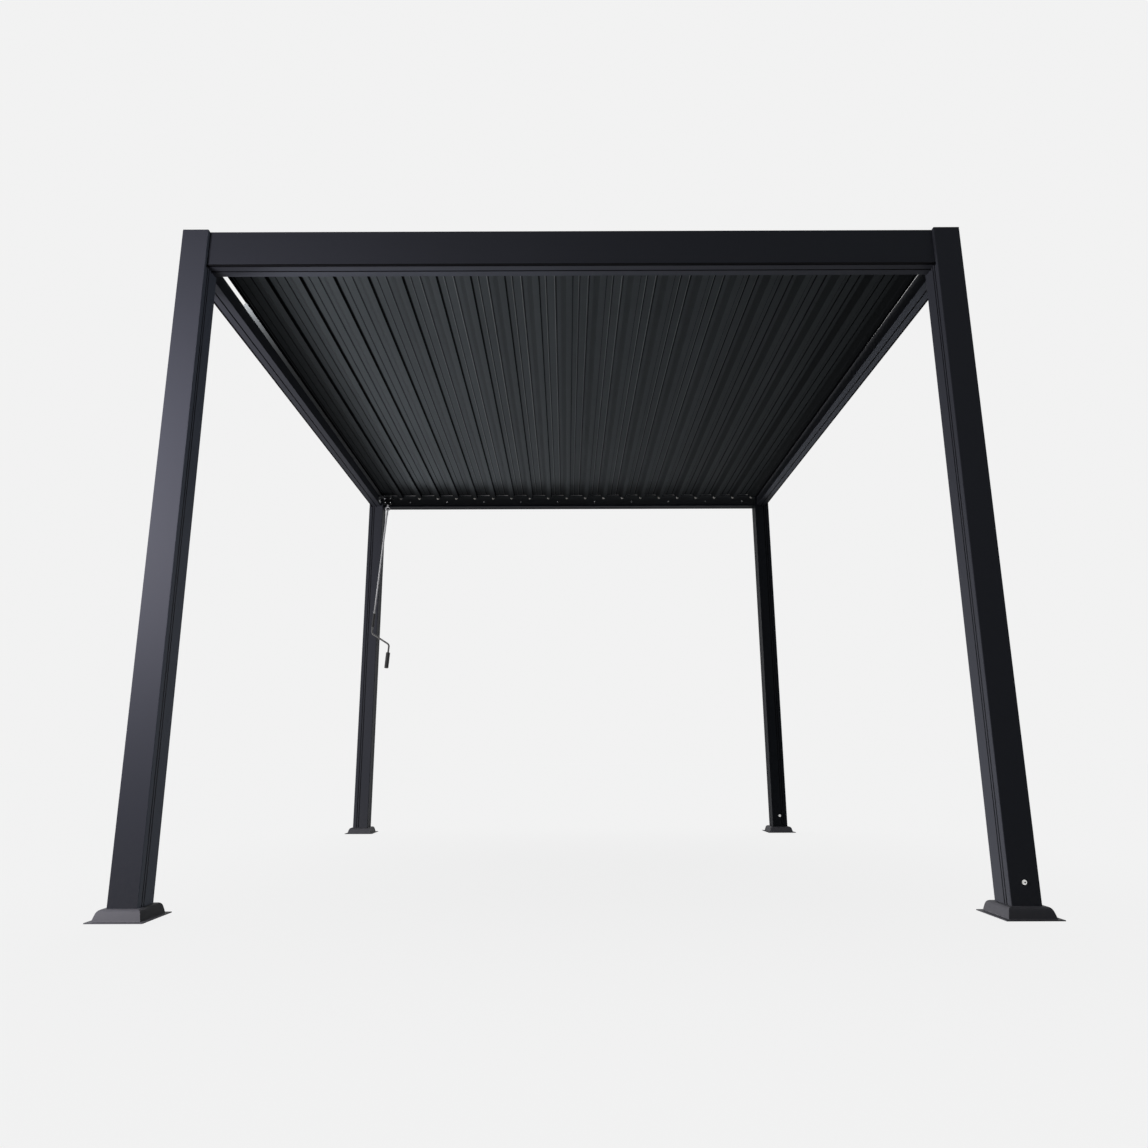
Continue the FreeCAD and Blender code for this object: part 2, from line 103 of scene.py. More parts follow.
def mathNode(tree, operation, *terms):       # each term is a number or a socket
    node = addNode(tree, "ShaderNodeMath")
    node.operation = operation
    for index, term in enumerate(terms):
        if isinstance(term, (int, float)):
            node.inputs[index].default_value = term
        else:
            wire(tree, (term, node.inputs[index]))
    return node.outputs[0]


def noiseNode(tree, place, detail, rough, scale=None):
    node = addNode(tree, "ShaderNodeTexNoise", {"Detail": detail, "Roughness": rough})
    if scale is not None:
        node.inputs["Scale"].default_value = scale
    wire(tree, (place, node.inputs["Vector"]))
    return node


def objectPlace(tree):
    return addNode(tree, "ShaderNodeTexCoord").outputs["Object"]


def objectAxes(tree):
    split = addNode(tree, "ShaderNodeSeparateXYZ")
    wire(tree, (objectPlace(tree), split.inputs[0]))
    return split.outputs


def fadeBetween(tree, value, start, end):    # 0 at the start, 1 at the end
    fade = addNode(tree, "ShaderNodeMapRange", {"From Min": start, "From Max": end})
    wire(tree, (value, fade.inputs["Value"]))
    return fade.outputs[0]


def scaledColour(tree, colour, amount):
    shade = addNode(tree, "ShaderNodeVectorMath")
    shade.operation = "SCALE"
    wire(tree, (colour, shade.inputs[0]), (amount, shade.inputs["Scale"]))
    return shade.outputs[0]


def mixColour(tree, amount, colour, other):
    mix = addNode(tree, "ShaderNodeMix")
    mix.data_type = "RGBA"
    mix.inputs["B"].default_value = other
    wire(tree, (amount, mix.inputs["Factor"]), (colour, mix.inputs["A"]))
    return mix.outputs["Result"]


# floor, background and lamps; several lamps light only some nodes, as the light in the photograph falls
studio = {
    "pale": (0.887, 0.887, 0.887, 1.0),
    "floorTone": (0.16, 0.16, 0.16, 1.0),    # what the floor gives back to the object
    "floorHalf": 60.0,
    "floorDrop": 0.001,
    "floorLight": 0.92,           # share of the floor's shade that no shadow takes away
    "floorLevel": 1.041,          # so that the lit floor has the background's shade
    "fill": 0.03,                 # light of the surroundings
    "fillColour": (0.60, 0.95, 1.0, 1.0),
}
skyLight = {                      # angles in degrees
    "power": 1.6,
    "colour": (1.0, 1.0, 1.0),
    "softness": 46.0,
    "tilt": (-13.0, -6.0),
    "onCovers": 0.18,
}
areaLights = {
    "key": {"place": (-2.1, -2.7, 1.42), "aim": (-1.2, -1.3, 1.6), "size": 0.6, "power": 46.0,
            "colour": (1.0, 0.95, 1.0), "onBeam": 0.68},
    "left": {"place": (-4.4, -0.8, 0.45), "aim": (0.0, 0.0, 1.4), "size": 1.2, "power": 120.0,
             "colour": (1.0, 0.97, 0.97)},
    # for the left sides of the right front post and its cover
    "low": {"place": (0.2, -1.35, 0.3), "aim": (1.4, -1.45, 0.2), "size": 0.4, "power": 9.0,
            "colour": (1.0, 0.98, 0.98)},
    # for the inner side of the left front post
    "side": {"place": (2.5, -2.0, 0.9), "aim": (-1.4, -1.45, 1.4), "size": 1.0, "power": 60.0,
             "colour": (0.85, 0.92, 1.0)},
    "cover": {"place": (-2.3, -2.6, 0.45), "aim": (-1.45, -1.5, 0.03), "size": 0.4, "power": 22.0,
              "colour": (1.0, 0.97, 1.0)},
    # low, so that the ribs of the roof show
    "right": {"place": (3.2, 0.0, 0.35), "aim": (0.0, 0.0, 2.4), "size": 0.9, "power": 13.0,
              "colour": (0.92, 0.98, 1.0)},
}
upwardLights = {
    "from": -1.20,
    "to": 1.12,
    "powers": (3.1, 2.4, 1.65, 1.05, 0.70, 0.35),        # weaker to the right
    "middle": -0.15,
    "height": 0.01,
    "depth": 2.6,
    "spread": 9.0,                # degrees
    "colour": (0.95, 0.98, 1.0),
    "beamPower": 1.1,             # under the right beam
    "beamWidth": 0.30,
}


def seenDirectly(tree):           # 1 for camera, glossy and transmission rays
    rays = addNode(tree, "ShaderNodeLightPath").outputs
    either = mathNode(tree, "MAXIMUM", rays["Is Camera Ray"], rays["Is Glossy Ray"])
    return mathNode(tree, "MAXIMUM", either, rays["Is Transmission Ray"])


def makeWorld():
    world = bpy.data.worlds.new("paleRoom")
    world.use_nodes = True
    tree = world.node_tree
    tree.nodes.clear()
    out = addNode(tree, "ShaderNodeOutputWorld")
    mix = addNode(tree, "ShaderNodeMixShader")
    fill = addNode(tree, "ShaderNodeBackground", {"Color": studio["fillColour"], "Strength": studio["fill"]})
    pale = addNode(tree, "ShaderNodeBackground", {"Color": studio["pale"]})
    wire(tree, (seenDirectly(tree), mix.inputs[0]), (fill.outputs[0], mix.inputs[1]),
         (pale.outputs[0], mix.inputs[2]), (mix.outputs[0], out.inputs["Surface"]))
    scene.world = world


def makeFloor():
    material = bpy.data.materials.new("paleFloor")
    material.use_nodes = True
    tree = material.node_tree
    tree.nodes.clear()
    out = addNode(tree, "ShaderNodeOutputMaterial")
    mix = addNode(tree, "ShaderNodeMixShader")
    seen = addNode(tree, "ShaderNodeMixShader", {0: studio["floorLight"]})
    given = addNode(tree, "ShaderNodeBsdfDiffuse", {"Color": studio["floorTone"]})
    plain = addNode(tree, "ShaderNodeBsdfDiffuse", {"Color": studio["pale"]})
    light = addNode(tree, "ShaderNodeEmission", {"Color": studio["pale"], "Strength": studio["floorLevel"]})
    wire(tree, (plain.outputs[0], seen.inputs[1]), (light.outputs[0], seen.inputs[2]),
         (seenDirectly(tree), mix.inputs[0]), (given.outputs[0], mix.inputs[1]),
         (seen.outputs[0], mix.inputs[2]), (mix.outputs[0], out.inputs["Surface"]))
    half, drop = studio["floorHalf"], studio["floorDrop"]
    corners = [(-half, -half, -drop), (half, -half, -drop), (half, half, -drop), (-half, half, -drop)]
    mesh = bpy.data.meshes.new("floor")
    mesh.from_pydata(corners, [], [(0, 1, 2, 3)])
    mesh.materials.append(material)
    floor = bpy.data.objects.new("floor", mesh)
    scene.collection.objects.link(floor)
    return floor


def addLamp(name, kind, power, colour):
    lamp = bpy.data.lights.new(name, kind)
    lamp.energy = power
    lamp.color = colour
    obj = bpy.data.objects.new(name, lamp)
    obj.visible_camera = False
    scene.collection.objects.link(obj)
    return obj


def lookAt(obj, target):
    obj.rotation_euler = (Vector(target) - obj.location).to_track_quat("-Z", "Y").to_euler()


def addAreaLamp(name, light, share=1.0):
    lamp = addLamp(name, "AREA", light["power"] * share, light["colour"])
    lamp.data.size = light["size"]
    lamp.location = light["place"]
    lookAt(lamp, light["aim"])
    return lamp


def addUpward(power, x, width):
    s = upwardLights
    lamp = addLamp("upwardLamp", "AREA", power, s["colour"])
    lamp.data.shape = "RECTANGLE"
    lamp.data.size = width
    lamp.data.size_y = s["depth"]
    lamp.data.spread = math.radians(s["spread"])
    lamp.location = (x, s["middle"], s["height"])
    lamp.rotation_euler = (math.pi, 0.0, 0.0)
    return lamp


def linkLight(lamp, objects, state):         # the lamp spares these objects, or lights no others
    group = bpy.data.collections.new(lamp.name + "Link")
    for obj in objects:
        group.objects.link(obj)
    for item in group.collection_objects:
        item.light_linking.link_state = state
    lamp.light_linking.receiver_collection = group


def makeLamps(floor):
    blades = [nodes[name] for name in louvres]
    farSide = [nodes[name] for name in ("beam_back", "pivot_rail_back", "post_back_right")]
    frontBeam = [nodes["beam_front"]]
    rightBeam = [nodes["beam_right"]]
    covers = [nodes["foot_covers"]]
    for share, state in ((1.0, "EXCLUDE"), (skyLight["onCovers"], "INCLUDE")):
        sky = addLamp("skyLamp", "SUN", skyLight["power"] * share, skyLight["colour"])
        sky.data.angle = math.radians(skyLight["softness"])
        sky.rotation_euler = (*(math.radians(angle) for angle in skyLight["tilt"]), 0.0)
        linkLight(sky, covers, state)
    # the low lamps spare the floor, which would burn out near them, and what lies in shade
    spared = [floor, nodes["gearbox"], nodes["gearbox_plate"]] + blades + farSide
    for name, share, objects, state in (("key", 1.0, spared + frontBeam + rightBeam, "EXCLUDE"),
                                        ("key", areaLights["key"]["onBeam"], frontBeam, "INCLUDE"),
                                        ("left", 1.0, spared + rightBeam, "EXCLUDE"),
                                        ("low", 1.0, covers + [nodes["post_front_right"]], "INCLUDE"),
                                        ("side", 1.0, [nodes["post_front_left"]], "INCLUDE"),
                                        ("cover", 1.0, covers, "INCLUDE"),
                                        ("right", 1.0, blades, "INCLUDE")):
        linkLight(addAreaLamp(name + "Lamp", areaLights[name], share), objects, state)
    # what lit paving sends up to the roof and to the right beam
    s = upwardLights
    width = (s["to"] - s["from"]) / len(s["powers"])
    for index, power in enumerate(s["powers"]):
        addUpward(power, s["from"] + (index + 0.5) * width, width)
    low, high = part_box("beam_right")
    linkLight(addUpward(s["beamPower"], (low[0] + high[0]) / 2, s["beamWidth"]), rightBeam, "INCLUDE")


makeWorld()
makeLamps(makeFloor())
print("stage: studio")


# shared shader groups
def newGroup(name, inputs, outputs):
    group = bpy.data.node_groups.new(name, "ShaderNodeTree")
    for label, kind, value in inputs:
        socket = group.interface.new_socket(label, in_out="INPUT", socket_type=kind)
        socket.default_value = value
    for label, kind in outputs:
        group.interface.new_socket(label, in_out="OUTPUT", socket_type=kind)
    return group, addNode(group, "NodeGroupInput").outputs, addNode(group, "NodeGroupOutput").inputs


coatTexture = {                   # noises: detail, roughness, scale
    "grain": (3.0, 0.6),
    "clouds": (4.0, 0.55, 1.7),
    "specks": (2.0, 0.7, 60.0),
    "cloudShare": 2.0,
    "grainShare": 0.25,
    "dustBelow": 0.45,            # metres above the ground
    "dustColour": (0.140, 0.138, 0.136, 1.0),
    "dustRough": 0.4,
}


def powderCoat():                 # cured grain, slow changes of shade, dust near the ground
    s = coatTexture
    tree, given, result = newGroup("powderCoat", [
        ("Colour", "NodeSocketColor", (0.05, 0.05, 0.05, 1.0)),
        ("Grain Scale", "NodeSocketFloat", 900.0),
        ("Shade Change", "NodeSocketFloat", 0.12),
        ("Roughness", "NodeSocketFloat", 0.5),
        ("Roughness Change", "NodeSocketFloat", 0.08),
        ("Dust", "NodeSocketFloat", 0.2)],
        [("Colour", "NodeSocketColor"), ("Roughness", "NodeSocketFloat"), ("Height", "NodeSocketFloat")])
    place = objectPlace(tree)
    grain, clouds, specks = (noiseNode(tree, place, *s[key]) for key in ("grain", "clouds", "specks"))
    wire(tree, (given["Grain Scale"], grain.inputs["Scale"]))
    centred = mathNode(tree, "SUBTRACT", clouds.outputs["Fac"], 0.5)
    slow = mathNode(tree, "MULTIPLY", centred, given["Shade Change"])
    slow = mathNode(tree, "MULTIPLY", slow, s["cloudShare"])
    fine = mathNode(tree, "MULTIPLY", mathNode(tree, "SUBTRACT", grain.outputs["Fac"], 0.5), s["grainShare"])
    bright = mathNode(tree, "ADD", mathNode(tree, "ADD", slow, fine), 1.0)
    low = mathNode(tree, "POWER", fadeBetween(tree, objectAxes(tree)["Z"], s["dustBelow"], 0.0), 2.0)
    dust = mathNode(tree, "MULTIPLY", mathNode(tree, "MULTIPLY", low, specks.outputs["Fac"]), given["Dust"])
    colour = mixColour(tree, dust, scaledColour(tree, given["Colour"], bright), s["dustColour"])
    change = mathNode(tree, "MULTIPLY", centred, given["Roughness Change"])
    roughness = mathNode(tree, "ADD", mathNode(tree, "ADD", given["Roughness"], change),
                         mathNode(tree, "MULTIPLY", dust, s["dustRough"]))
    wire(tree, (colour, result["Colour"]), (roughness, result["Roughness"]),
         (grain.outputs["Fac"], result["Height"]))
    return tree


brushTexture = {                  # noises: detail, roughness, scale
    "lines": (3.0, 0.6),
    "stains": (3.0, 0.5, 14.0),
    "lineShare": 0.35,
    "lineBase": 0.82,
    "stainShare": 0.2,
    "stainBase": 0.9,
    "stainRough": 0.3,
}


def brushing():                   # fine lines along one direction, as drawn metal has
    s = brushTexture
    tree, given, result = newGroup("brushing", [
        ("Colour", "NodeSocketColor", (0.5, 0.5, 0.5, 1.0)),
        ("Stretch", "NodeSocketVector", (1.0, 0.02, 1.0)),
        ("Line Scale", "NodeSocketFloat", 700.0),
        ("Roughness", "NodeSocketFloat", 0.3)],
        [("Colour", "NodeSocketColor"), ("Roughness", "NodeSocketFloat"), ("Height", "NodeSocketFloat")])
    place = objectPlace(tree)
    stretch = addNode(tree, "ShaderNodeVectorMath")
    stretch.operation = "MULTIPLY"
    wire(tree, (place, stretch.inputs[0]), (given["Stretch"], stretch.inputs[1]))
    lines = noiseNode(tree, stretch.outputs[0], *s["lines"])
    stains = noiseNode(tree, place, *s["stains"])
    wire(tree, (given["Line Scale"], lines.inputs["Scale"]))
    lined = mathNode(tree, "MULTIPLY", lines.outputs["Fac"], s["lineShare"])
    lined = mathNode(tree, "ADD", lined, s["lineBase"])
    stained = mathNode(tree, "MULTIPLY", stains.outputs["Fac"], s["stainShare"])
    stained = mathNode(tree, "ADD", stained, s["stainBase"])
    colour = scaledColour(tree, given["Colour"], mathNode(tree, "MULTIPLY", lined, stained))
    centred = mathNode(tree, "SUBTRACT", stains.outputs["Fac"], 0.5)
    change = mathNode(tree, "MULTIPLY", centred, s["stainRough"])
    roughness = mathNode(tree, "ADD", given["Roughness"], change)
    wire(tree, (colour, result["Colour"]), (roughness, result["Roughness"]),
         (lines.outputs["Fac"], result["Height"]))
    return tree


grooveLabels = ("First", "Second", "Third")


def grooveShade():                # soft lines where a groove or joint runs, measured across it in metres
    nowhere = -1.0                # place of a line that isn't used
    softEdge = 2.0                # the mask is full from half the width inwards
    sockets = [("Across", "NodeSocketFloat", 0.0)]
    for label in grooveLabels:
        sockets.append((label + " Place", "NodeSocketFloat", nowhere))
        sockets.append((label + " Width", "NodeSocketFloat", 0.005))
    tree, given, result = newGroup("grooveShade", sockets, [("Mask", "NodeSocketFloat")])
    mask = None
    for label in grooveLabels:
        away = mathNode(tree, "SUBTRACT", given["Across"], given[label + " Place"])
        away = mathNode(tree, "ABSOLUTE", away)
        line = mathNode(tree, "SUBTRACT", 1.0, mathNode(tree, "DIVIDE", away, given[label + " Width"]))
        line = mathNode(tree, "MAXIMUM", mathNode(tree, "MULTIPLY", line, softEdge), 0.0)
        line = mathNode(tree, "MINIMUM", line, 1.0)
        mask = line if mask is None else mathNode(tree, "MAXIMUM", mask, line)
    wire(tree, (mask, result["Mask"]))
    return tree


coatGroup = powderCoat()
brushGroup = brushing()
grooveGroup = grooveShade()


def placeGroup(tree, group, values):
    node = addNode(tree, "ShaderNodeGroup")
    node.node_tree = group
    for label, value in values.items():
        node.inputs[label].default_value = value
    return node


def newMaterial(name):
    material = bpy.data.materials.new(name)
    material.use_nodes = True
    tree = material.node_tree
    return material, tree, tree.nodes["Principled BSDF"]


def addBump(tree, shader, height, sizes):
    bump = addNode(tree, "ShaderNodeBump", {"Distance": sizes["distance"], "Strength": sizes["strength"]})
    wire(tree, (height, bump.inputs["Height"]), (bump.outputs["Normal"], shader.inputs["Normal"]))


# painted shade along grooves and joints, and painted highlights on groove edges, in metres
grooveColours = {"paintedShade": (0.003, 0.003, 0.004, 1.0), "edge": (0.135, 0.140, 0.145, 1.0)}
beforePivot = 0.147               # where a louvre's lines are measured from, 30 mm left of its joint
grooveLines = {
    # undersides of the louvres: painted shade at the joint, then at two grooves; painted highlights on the
    # groove edges
    "louvrePaint": [{"start": firstPivot[0] - beforePivot, "pitch": louvrePitch,
                     "below": 2.446, "above": 2.4202, "dark": 0.92,
                     "lines": ((0.0300, 0.0060), (0.0610, 0.0030), (0.1002, 0.0040)),
                     "edges": ((0.0300, 0.0001), (0.0576, 0.0026), (0.0962, 0.0036)),
                     "edgesFade": (0.95, 0.35)}],
    # painted shade at the lower outer edge and a groove under the beams, then at two grooves on the inner
    # faces of the posts
    "framePaint": [{"outer": -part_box("beam_front")[0][1], "below": 2.3672, "above": 2.355, "dark": 0.97,
                    "lines": ((0.0030, 0.0095), (0.0385, 0.0045))},
                   {"outer": -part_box("post_front_left")[0][1], "below": 2.3610, "above": 0.030, "dark": 0.90,
                    "lines": ((0.0250, 0.0042), (0.0380, 0.0042))}],
}


def linesMask(tree, across, lines):
    values = {}
    for label, (middle, width) in zip(grooveLabels, lines):
        values[label + " Place"] = middle
        values[label + " Width"] = width
    groove = placeGroup(tree, grooveGroup, values)
    wire(tree, (across, groove.inputs["Across"]))
    return groove.outputs["Mask"]


def grooveColour(tree, sizes, colour):
    axes = objectAxes(tree)
    inside = mathNode(tree, "MULTIPLY", mathNode(tree, "LESS_THAN", axes["Z"], sizes["below"]),
                      mathNode(tree, "GREATER_THAN", axes["Z"], sizes["above"]))
    sideways = mathNode(tree, "ABSOLUTE", axes["X"])
    if "pitch" in sizes:          # along the row of louvres
        across = mathNode(tree, "SUBTRACT", axes["X"], sizes["start"])
        across = mathNode(tree, "FLOORED_MODULO", across, sizes["pitch"])
    else:                         # inwards from the outer faces
        reach = mathNode(tree, "MAXIMUM", sideways, mathNode(tree, "ABSOLUTE", axes["Y"]))
        across = mathNode(tree, "SUBTRACT", sizes["outer"], reach)
    if "edges" in sizes:          # painted highlights on the groove edges, strongest in the middle of the roof
        middle = fadeBetween(tree, sideways, *sizes["edgesFade"])
        amount = mathNode(tree, "MULTIPLY", linesMask(tree, across, sizes["edges"]), middle)
        colour = mixColour(tree, mathNode(tree, "MULTIPLY", amount, inside), colour, grooveColours["edge"])
    # painted shade: the groove and joint lines darkened to near black
    amount = mathNode(tree, "MULTIPLY", linesMask(tree, across, sizes["lines"]), inside)
    return mixColour(tree, mathNode(tree, "MULTIPLY", amount, sizes["dark"]), colour, grooveColours["paintedShade"])


# the rod is lighter above, darker lower down, fading between the two heights
rodShade = {"dullBelow": 1.38, "brightAbove": 1.70, "bright": (0.62, 0.63, 0.64, 1.0)}


def brightTop(tree, colour):
    fade = fadeBetween(tree, objectAxes(tree)["Z"], rodShade["dullBelow"], rodShade["brightAbove"])
    return mixColour(tree, fade, colour, rodShade["bright"])


coatBump = {"distance": 0.0002, "strength": 0.25}
coatSockets = {"Colour": "colour", "Grain Scale": "grain", "Shade Change": "change", "Roughness": "rough",
               "Dust": "dust"}
coatFinishes = {
    "framePaint": {"colour": (0.046, 0.049, 0.060, 1.0), "rough": 0.55, "gloss": 0.05,
                   "grain": 900.0, "change": 0.10, "dust": 0.25},
    "louvrePaint": {"colour": (0.048, 0.052, 0.056, 1.0), "rough": 0.62, "gloss": 0.03,
                    "grain": 900.0, "change": 0.14, "dust": 0.0},
    "coverPaint": {"colour": (0.062, 0.063, 0.073, 1.0), "rough": 0.45, "gloss": 0.08,
                   "grain": 700.0, "change": 0.12, "dust": 0.3},
    "railPaint": {"colour": (0.030, 0.033, 0.038, 1.0), "rough": 0.5, "gloss": 0.3,
                  "grain": 1200.0, "change": 0.10, "dust": 0.0},
    "gearPaint": {"colour": (0.030, 0.030, 0.034, 1.0), "rough": 0.6, "gloss": 0.06,
                  "grain": 350.0, "change": 0.12, "dust": 0.0},
    "gripPlastic": {"colour": (0.012, 0.012, 0.013, 1.0), "rough": 0.55, "gloss": 0.4,
                    "grain": 500.0, "change": 0.15, "dust": 0.0},
    "sealRubber": {"colour": (0.004, 0.004, 0.005, 1.0), "rough": 0.80, "gloss": 0.01,
                   "grain": 300.0, "change": 0.25, "dust": 0.0},
    "crankPaint": {"colour": (0.085, 0.085, 0.085, 1.0), "rough": 0.42, "gloss": 0.4,
                   "grain": 900.0, "change": 0.15, "dust": 0.0},
    "gapStrip": {"colour": (0.20, 0.21, 0.22, 1.0), "rough": 0.6, "gloss": 0.05,
                 "grain": 500.0, "change": 0.15, "dust": 0.0},
    "paleNylon": {"colour": (0.42, 0.42, 0.40, 1.0), "rough": 0.5, "gloss": 0.4,
                  "grain": 400.0, "change": 0.08, "dust": 0.0},
}


def coatMaterial(name):
    finish = coatFinishes[name]
    material, tree, shader = newMaterial(name)
    coat = placeGroup(tree, coatGroup, {label: finish[key] for label, key in coatSockets.items()})
    shader.inputs["Specular IOR Level"].default_value = finish["gloss"]
    colour = coat.outputs["Colour"]
    if name == "crankPaint":
        colour = brightTop(tree, colour)
    for sizes in grooveLines.get(name, []):
        colour = grooveColour(tree, sizes, colour)
    wire(tree, (colour, shader.inputs["Base Color"]), (coat.outputs["Roughness"], shader.inputs["Roughness"]))
    addBump(tree, shader, coat.outputs["Height"], coatBump)
    return material


metalBump = {"distance": 0.0001, "strength": 0.2}
metalSockets = {"Colour": "colour", "Stretch": "stretch", "Line Scale": "lines", "Roughness": "rough"}
metalFinishes = {
    "footSteel": {"colour": (0.42, 0.43, 0.44, 1.0), "rough": 0.45,
                  "stretch": (1.0, 1.0, 1.0), "lines": 60.0},
    "linkSteel": {"colour": (0.55, 0.56, 0.57, 1.0), "rough": 0.34,
                  "stretch": (0.03, 1.0, 1.0), "lines": 900.0},
    "drainSteel": {"colour": (0.74, 0.74, 0.73, 1.0), "rough": 0.16,
                   "stretch": (1.0, 0.05, 1.0), "lines": 500.0},
    "screwSteel": {"colour": (0.60, 0.61, 0.62, 1.0), "rough": 0.26,
                   "stretch": (1.0, 0.1, 1.0), "lines": 600.0},
}


def metalMaterial(name):
    finish = metalFinishes[name]
    material, tree, shader = newMaterial(name)
    metal = placeGroup(tree, brushGroup, {label: finish[key] for label, key in metalSockets.items()})
    shader.inputs["Metallic"].default_value = 1.0
    wire(tree, (metal.outputs["Colour"], shader.inputs["Base Color"]),
         (metal.outputs["Roughness"], shader.inputs["Roughness"]))
    addBump(tree, shader, metal.outputs["Height"], metalBump)
    return material


materials = {name: coatMaterial(name) for name in coatFinishes}
materials.update({name: metalMaterial(name) for name in metalFinishes})
finishOfNode = {name: "louvrePaint" for name in louvres}
finishOfNode.update({
    "foot_covers": "coverPaint", "foot_plates": "footSteel", "pivot_rail_front": "railPaint",
    "pivot_rail_back": "railPaint", "gearbox": "gearPaint", "gearbox_plate": "linkSteel",
    "drain_outlets": "drainSteel", "tie_bar": "linkSteel", "drive_arm": "linkSteel",
    "crank_rod": "crankPaint", "crank_grips": "gripPlastic"})
for name, obj in nodes.items():
    for slot in obj.material_slots:
        slot.material = materials[finishOfNode.get(name, "framePaint")]
print("stage: materials on", len(nodes), "nodes")


# small shapes
def skinned(name, loops, capped=True):
    # a skin over loops of points, each joined to the next; without caps the last meets the first
    shape = bmesh.new()
    rings = [[shape.verts.new(point) for point in loop] for loop in loops]
    pairs = list(zip(rings, rings[1:]))
    if capped:
        shape.faces.new(rings[0][::-1])
        shape.faces.new(rings[-1])
    else:
        pairs.append((rings[-1], rings[0]))
    for low, high in pairs:
        for step in range(len(low)):
            after = (step + 1) % len(low)
            shape.faces.new((low[step], low[after], high[after], high[step]))
    bmesh.ops.recalc_face_normals(shape, faces=shape.faces)
    mesh = bpy.data.meshes.new(name)
    shape.to_mesh(mesh)
    shape.free()
    return mesh


def turnedShape(name, profile, sides, capped):
    loops = []
    for radius, height, *form in profile:
        loop = []
        for step in range(sides):
            turn = 2.0 * math.pi * step / sides
            reach = radius * (math.cos(math.pi / 6.0) if form and step % 2 else 1.0)
            loop.append((reach * math.cos(turn), reach * math.sin(turn), height))
        loops.append(loop)
    return bpy.data.objects.new(name, skinned(name, loops, capped))


# radius and height in metres, from the buried end outwards; "hex" is six-sided
fastenerSides = 12
fastenerSizes = {
    "panScrew": [(0.0034, -0.0004), (0.0034, 0.0010), (0.0028, 0.0019), (0.0019, 0.0022),
                 (0.0015, 0.0022, "hex"), (0.0015, 0.0009, "hex")],
    "flatScrew": [(0.0046, -0.0004), (0.0046, 0.0003), (0.0041, 0.0006), (0.0019, 0.0006, "hex"),
                  (0.0019, -0.0001, "hex")],
    "hexBolt": [(0.0080, -0.0004), (0.0080, 0.0012), (0.0076, 0.0015), (0.0066, 0.0015, "hex"),
                (0.0066, 0.0052, "hex"), (0.0052, 0.0060, "hex")],
}
ringSides = 16
ringSizes = {
    "bush": [(0.0042, 0.0), (0.0095, 0.0), (0.0095, 0.0014), (0.0088, 0.0020), (0.0064, 0.0020),
             (0.0060, 0.0046), (0.0042, 0.0050)],
    "pinSleeve": [(0.0041, 0.0004), (0.0064, 0.0004), (0.0068, 0.0012), (0.0068, 0.0160), (0.0062, 0.0168),
                  (0.0041, 0.0168)],
    "barSpacer": [(0.0031, 0.0002), (0.0058, 0.0002), (0.0058, 0.0046), (0.0031, 0.0046)],
    "barClip": [(0.0028, 0.0), (0.0056, 0.0), (0.0053, 0.0010), (0.0028, 0.0010)],
    "gasket": [(0.0050, 0.0), (0.0094, 0.0), (0.0094, 0.0009), (0.0050, 0.0009)],
    "gripRib": [(0.0132, -0.0019), (0.0141, -0.0017), (0.0145, -0.0009), (0.0145, 0.0009), (0.0141, 0.0017),
                (0.0132, 0.0019)],
    "rodCollar": [(0.0055, -0.0070), (0.0078, -0.0070), (0.0084, -0.0058), (0.0084, 0.0058), (0.0078, 0.0070),
                  (0.0055, 0.0070)],
}
shapes = {name: turnedShape(name, sizes, fastenerSides, True) for name, sizes in fastenerSizes.items()}
shapes.update({name: turnedShape(name, sizes, ringSides, False) for name, sizes in ringSizes.items()})


def setOnPoints():                # one shape on each point, turned as the point says
    tree = bpy.data.node_groups.new("setOnPoints", "GeometryNodeTree")
    face = tree.interface
    face.new_socket("Points", in_out="INPUT", socket_type="NodeSocketGeometry")
    face.new_socket("Shape", in_out="INPUT", socket_type="NodeSocketObject")
    face.new_socket("Size", in_out="INPUT", socket_type="NodeSocketFloat").default_value = 1.0
    face.new_socket("Finish", in_out="INPUT", socket_type="NodeSocketMaterial")
    face.new_socket("Pieces", in_out="OUTPUT", socket_type="NodeSocketGeometry")
    given = addNode(tree, "NodeGroupInput").outputs
    result = addNode(tree, "NodeGroupOutput").inputs
    info = addNode(tree, "GeometryNodeObjectInfo")
    turn = addNode(tree, "GeometryNodeInputNamedAttribute")
    turn.data_type = "FLOAT_VECTOR"
    turn.inputs["Name"].default_value = "turn"
    rotation = addNode(tree, "FunctionNodeEulerToRotation")
    place = addNode(tree, "GeometryNodeInstanceOnPoints")
    realize = addNode(tree, "GeometryNodeRealizeInstances")
    finish = addNode(tree, "GeometryNodeSetMaterial")
    wire(tree, (given["Points"], place.inputs["Points"]), (given["Shape"], info.inputs["Object"]),
         (info.outputs["Geometry"], place.inputs["Instance"]),
         (turn.outputs["Attribute"], rotation.inputs[0]), (rotation.outputs[0], place.inputs["Rotation"]),
         (given["Size"], place.inputs["Scale"]), (place.outputs[0], realize.inputs[0]),
         (realize.outputs[0], finish.inputs["Geometry"]), (given["Finish"], finish.inputs["Material"]),
         (finish.outputs[0], result["Pieces"]))
    return tree


pointTree = setOnPoints()
facing = {"back": (-math.pi / 2, 0.0, 0.0), "front": (math.pi / 2, 0.0, 0.0), "up": (0.0, 0.0, 0.0),
          "right": (0.0, math.pi / 2, 0.0)}


